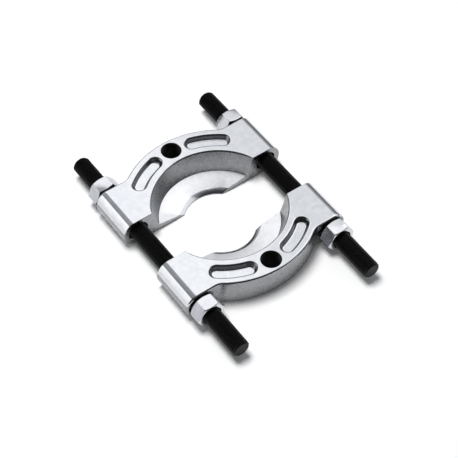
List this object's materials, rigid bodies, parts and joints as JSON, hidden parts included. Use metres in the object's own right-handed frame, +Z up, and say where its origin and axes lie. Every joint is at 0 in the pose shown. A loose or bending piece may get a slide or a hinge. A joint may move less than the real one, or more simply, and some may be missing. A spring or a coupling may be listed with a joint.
{
  "type": "bearing separator",
  "caption": "Bearing separator with plated half-ring jaws whose knife-edged webs close round a shaft behind a bearing, drawn together by nuts on black threaded studs.",
  "frame": {"origin": "bottom centre of the bounding box: midway between the studs and midway along them, on the plane of the jaws' flat undersides", "axes": "+X from the left stud to the right stud, +Y along the studs towards the rear jaw, +Z up, the way that the webs and pockets face"},
  "size_m": [0.1646, 0.243, 0.0267],
  "materials": {
    "jaw_plate": "bright zinc plate, satin",
    "nut_plate": "bright zinc plate, satin",
    "black_oxide": "black oxide"
  },
  "bodies": {
    "studs": {"stud_left": "black_oxide", "stud_right": "black_oxide"},
    "jaw_rear": {"jaw_rear": "jaw_plate"},
    "jaw_front": {"jaw_front": "jaw_plate"},
    "nut_rear_left": {"nut_rear_left": "nut_plate"},
    "nut_rear_right": {"nut_rear_right": "nut_plate"},
    "nut_front_left": {"nut_front_left": "nut_plate"},
    "nut_front_right": {"nut_front_right": "nut_plate"}
  },
  "joints": [
    {"name": "jaw_rear_slide", "type": "slide", "parent": "studs", "child": "jaw_rear", "axis": [0, 1, 0], "range_m": [-0.0246, 0.0315]},
    {"name": "jaw_front_slide", "type": "slide", "parent": "studs", "child": "jaw_front", "axis": [0, 1, 0], "range_m": [-0.0393, 0.0246]},
    {"name": "nut_rear_left_turn", "type": "hinge", "parent": "jaw_rear", "child": "nut_rear_left", "pos_m": [-0.06753, 0.0809, 0.01335], "axis": [0, 1, 0], "range_deg": [-4428, 5670]},
    {"name": "nut_rear_right_turn", "type": "hinge", "parent": "jaw_rear", "child": "nut_rear_right", "pos_m": [0.06753, 0.0809, 0.01335], "axis": [0, 1, 0], "range_deg": [-4428, 5670]},
    {"name": "nut_front_left_turn", "type": "hinge", "parent": "jaw_front", "child": "nut_front_left", "pos_m": [-0.06753, -0.073, 0.01335], "axis": [0, 1, 0], "range_deg": [-7074, 4428]},
    {"name": "nut_front_right_turn", "type": "hinge", "parent": "jaw_front", "child": "nut_front_right", "pos_m": [0.06753, -0.073, 0.01335], "axis": [0, 1, 0], "range_deg": [-7074, 4428]}
  ],
  "couplings": [
    {"joint": "nut_rear_left_turn", "follows": "jaw_rear_slide", "rad_per_m": 3141.6},
    {"joint": "nut_rear_right_turn", "follows": "jaw_rear_slide", "rad_per_m": 3141.6},
    {"joint": "nut_front_left_turn", "follows": "jaw_front_slide", "rad_per_m": 3141.6},
    {"joint": "nut_front_right_turn", "follows": "jaw_front_slide", "rad_per_m": 3141.6}
  ]
}
